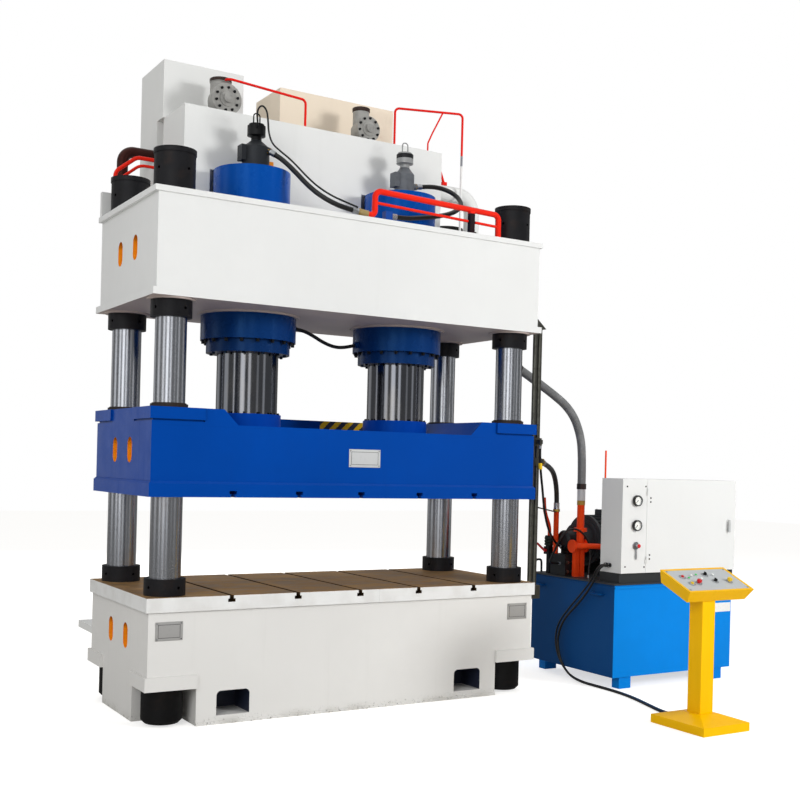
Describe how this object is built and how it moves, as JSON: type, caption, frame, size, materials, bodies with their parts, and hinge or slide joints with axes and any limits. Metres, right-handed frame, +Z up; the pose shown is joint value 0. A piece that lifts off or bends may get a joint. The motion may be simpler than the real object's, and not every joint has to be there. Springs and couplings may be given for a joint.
{
  "type": "four-column hydraulic press",
  "caption": "Four-column down-acting hydraulic press with filling tank, T-slotted table and slide, separate power unit with electric cabinet, and a pedestal control stand.",
  "frame": {"origin": "on the floor under the middle of the table, where the bed rests", "axes": "+X along the table's long side towards the power unit, +Y from the operator to the back, +Z up"},
  "size_m": [5.383, 3.63, 5.018],
  "materials": {
    "press_white": "painted, slightly worn",
    "slide_blue": "painted, gloss",
    "table_steel": "machined steel, brown with oil",
    "column_chrome": "hard chrome, ground",
    "nut_black": "blackened",
    "cylinder_blue": "painted",
    "steel": "turned",
    "bronze": "turned bronze",
    "wiper_tan": "matte",
    "hazard": "striped paint",
    "plate_grey": "brushed",
    "cream": "painted",
    "cast_grey": "painted casting",
    "pipe_red": "painted",
    "hose_black": "smooth cover",
    "hose_grey": "smooth cover",
    "side_steel": "drawn tube",
    "unit_blue": "painted",
    "motor_black": "painted casting",
    "pump_black": "painted casting",
    "lever_red": "dipped grip",
    "cabinet_white": "powder coat",
    "handle_black": "moulded",
    "gauge_steel": "polished",
    "needle_black": "painted",
    "stand_yellow": "powder coat",
    "panel_grey": "brushed",
    "button_red": "moulded",
    "button_yellow": "moulded",
    "selector_black": "moulded",
    "cable_black": "matte"
  },
  "bodies": {
    "root": {"bed_frame": "press_white", "bolster_plates": "table_steel", "column_front_left": "column_chrome", "column_front_right": "column_chrome", "column_rear_left": "column_chrome", "column_rear_right": "column_chrome", "clamp_nuts": "nut_black", "foot_nuts": "nut_black", "top_nuts": "nut_black", "crown_beam": "press_white", "cylinder_left": "cylinder_blue", "cylinder_right": "cylinder_blue", "gland_rings": "nut_black", "bed_step": "press_white", "rear_platform": "press_white", "filling_tank": "press_white", "rear_box_tall": "press_white", "rear_box_low": "cream", "tank_valves": "cast_grey", "tank_rails": "pipe_red", "prefill_valves": "cast_grey", "prefill_hose_left": "hose_black", "prefill_hose_right": "hose_black", "crown_pipes": "pipe_red", "crown_cable": "cable_black", "side_pipes": "side_steel", "main_hose": "hose_grey", "return_hose": "hose_black", "pilot_hose": "hose_black", "oil_risers": "pipe_red", "oil_tank": "unit_blue", "tank_lid": "unit_blue", "electric_motor": "motor_black", "bell_housing": "pipe_red", "pump_block": "pump_black", "cabinet_shell": "cabinet_white", "gauge_cases": "gauge_steel", "stand_body": "stand_yellow", "stand_panel": "panel_grey", "stand_cable_one": "cable_black", "stand_cable_two": "cable_black"},
    "slide": {"slide_beam": "slide_blue", "slide_wipers": "wiper_tan", "slide_bushes": "bronze", "ram_left": "column_chrome", "ram_right": "column_chrome", "ram_rings": "nut_black", "stop_bar": "hazard"},
    "lever": {"valve_lever": "lever_red"},
    "door": {"cabinet_door": "cabinet_white"},
    "handle": {"door_handle": "handle_black"},
    "needle_upper": {"gauge_needle_upper": "needle_black"},
    "needle_lower": {"gauge_needle_lower": "needle_black"},
    "knob": {"needle_valve_knob": "handle_black"},
    "red_push": {"button_red": "button_red"},
    "yellow_push": {"button_yellow": "button_yellow"},
    "stop_push": {"stop_mushroom": "button_red"},
    "ready_push": {"ready_mushroom": "button_yellow"},
    "left_selector": {"selector_left": "selector_black"},
    "right_selector": {"selector_right": "selector_black"}
  },
  "joints": [
    {"name": "slide_travel", "type": "slide", "parent": "root", "child": "slide", "axis": [0, 0, 1], "range_m": [-0.55, 0.4]},
    {"name": "lever_turn", "type": "hinge", "parent": "root", "child": "lever", "pos_m": [2.3365, 0.04, 1.097], "axis": [1, 0, 0], "range_deg": [0, 90]},
    {"name": "door_swing", "type": "hinge", "parent": "root", "child": "door", "pos_m": [2.6465, -0.932, 1.375], "axis": [0, 0, -1], "range_deg": [0, 110]},
    {"name": "handle_turn", "type": "hinge", "parent": "door", "child": "handle", "pos_m": [3.634, -0.935, 1.412], "axis": [0, 1, 0], "range_deg": [0, 90]},
    {"name": "needle_upper_turn", "type": "hinge", "parent": "root", "child": "needle_upper", "pos_m": [2.526, -0.9424, 1.59], "axis": [0, 1, 0], "range_deg": [0, 270]},
    {"name": "needle_lower_turn", "type": "hinge", "parent": "root", "child": "needle_lower", "pos_m": [2.526, -0.9424, 1.38], "axis": [0, 1, 0], "range_deg": [0, 270]},
    {"name": "knob_turn", "type": "hinge", "parent": "root", "child": "knob", "pos_m": [2.526, -0.9414, 1.208], "axis": [0, -1, 0], "range_deg": [0, 720]},
    {"name": "red_press", "type": "slide", "parent": "root", "child": "red_push", "axis": [0, 0.4067, -0.9135], "range_m": [0, 0.006], "stiffness_N_per_m": 600, "springref_m": -0.004},
    {"name": "yellow_press", "type": "slide", "parent": "root", "child": "yellow_push", "axis": [0, 0.4067, -0.9135], "range_m": [0, 0.006], "stiffness_N_per_m": 600, "springref_m": -0.004},
    {"name": "stop_press", "type": "slide", "parent": "root", "child": "stop_push", "axis": [0, 0.4067, -0.9135], "range_m": [0, 0.008], "stiffness_N_per_m": 600, "springref_m": -0.004},
    {"name": "ready_press", "type": "slide", "parent": "root", "child": "ready_push", "axis": [0, 0.4067, -0.9135], "range_m": [0, 0.008], "stiffness_N_per_m": 600, "springref_m": -0.004},
    {"name": "left_select", "type": "hinge", "parent": "root", "child": "left_selector", "pos_m": [2.09, -2.12295, 1.0883], "axis": [0, -0.4067, 0.9135], "range_deg": [-45, 45]},
    {"name": "right_select", "type": "hinge", "parent": "root", "child": "right_selector", "pos_m": [2.112, -2.207, 1.05088], "axis": [0, -0.4067, 0.9135], "range_deg": [-45, 45]}
  ]
}
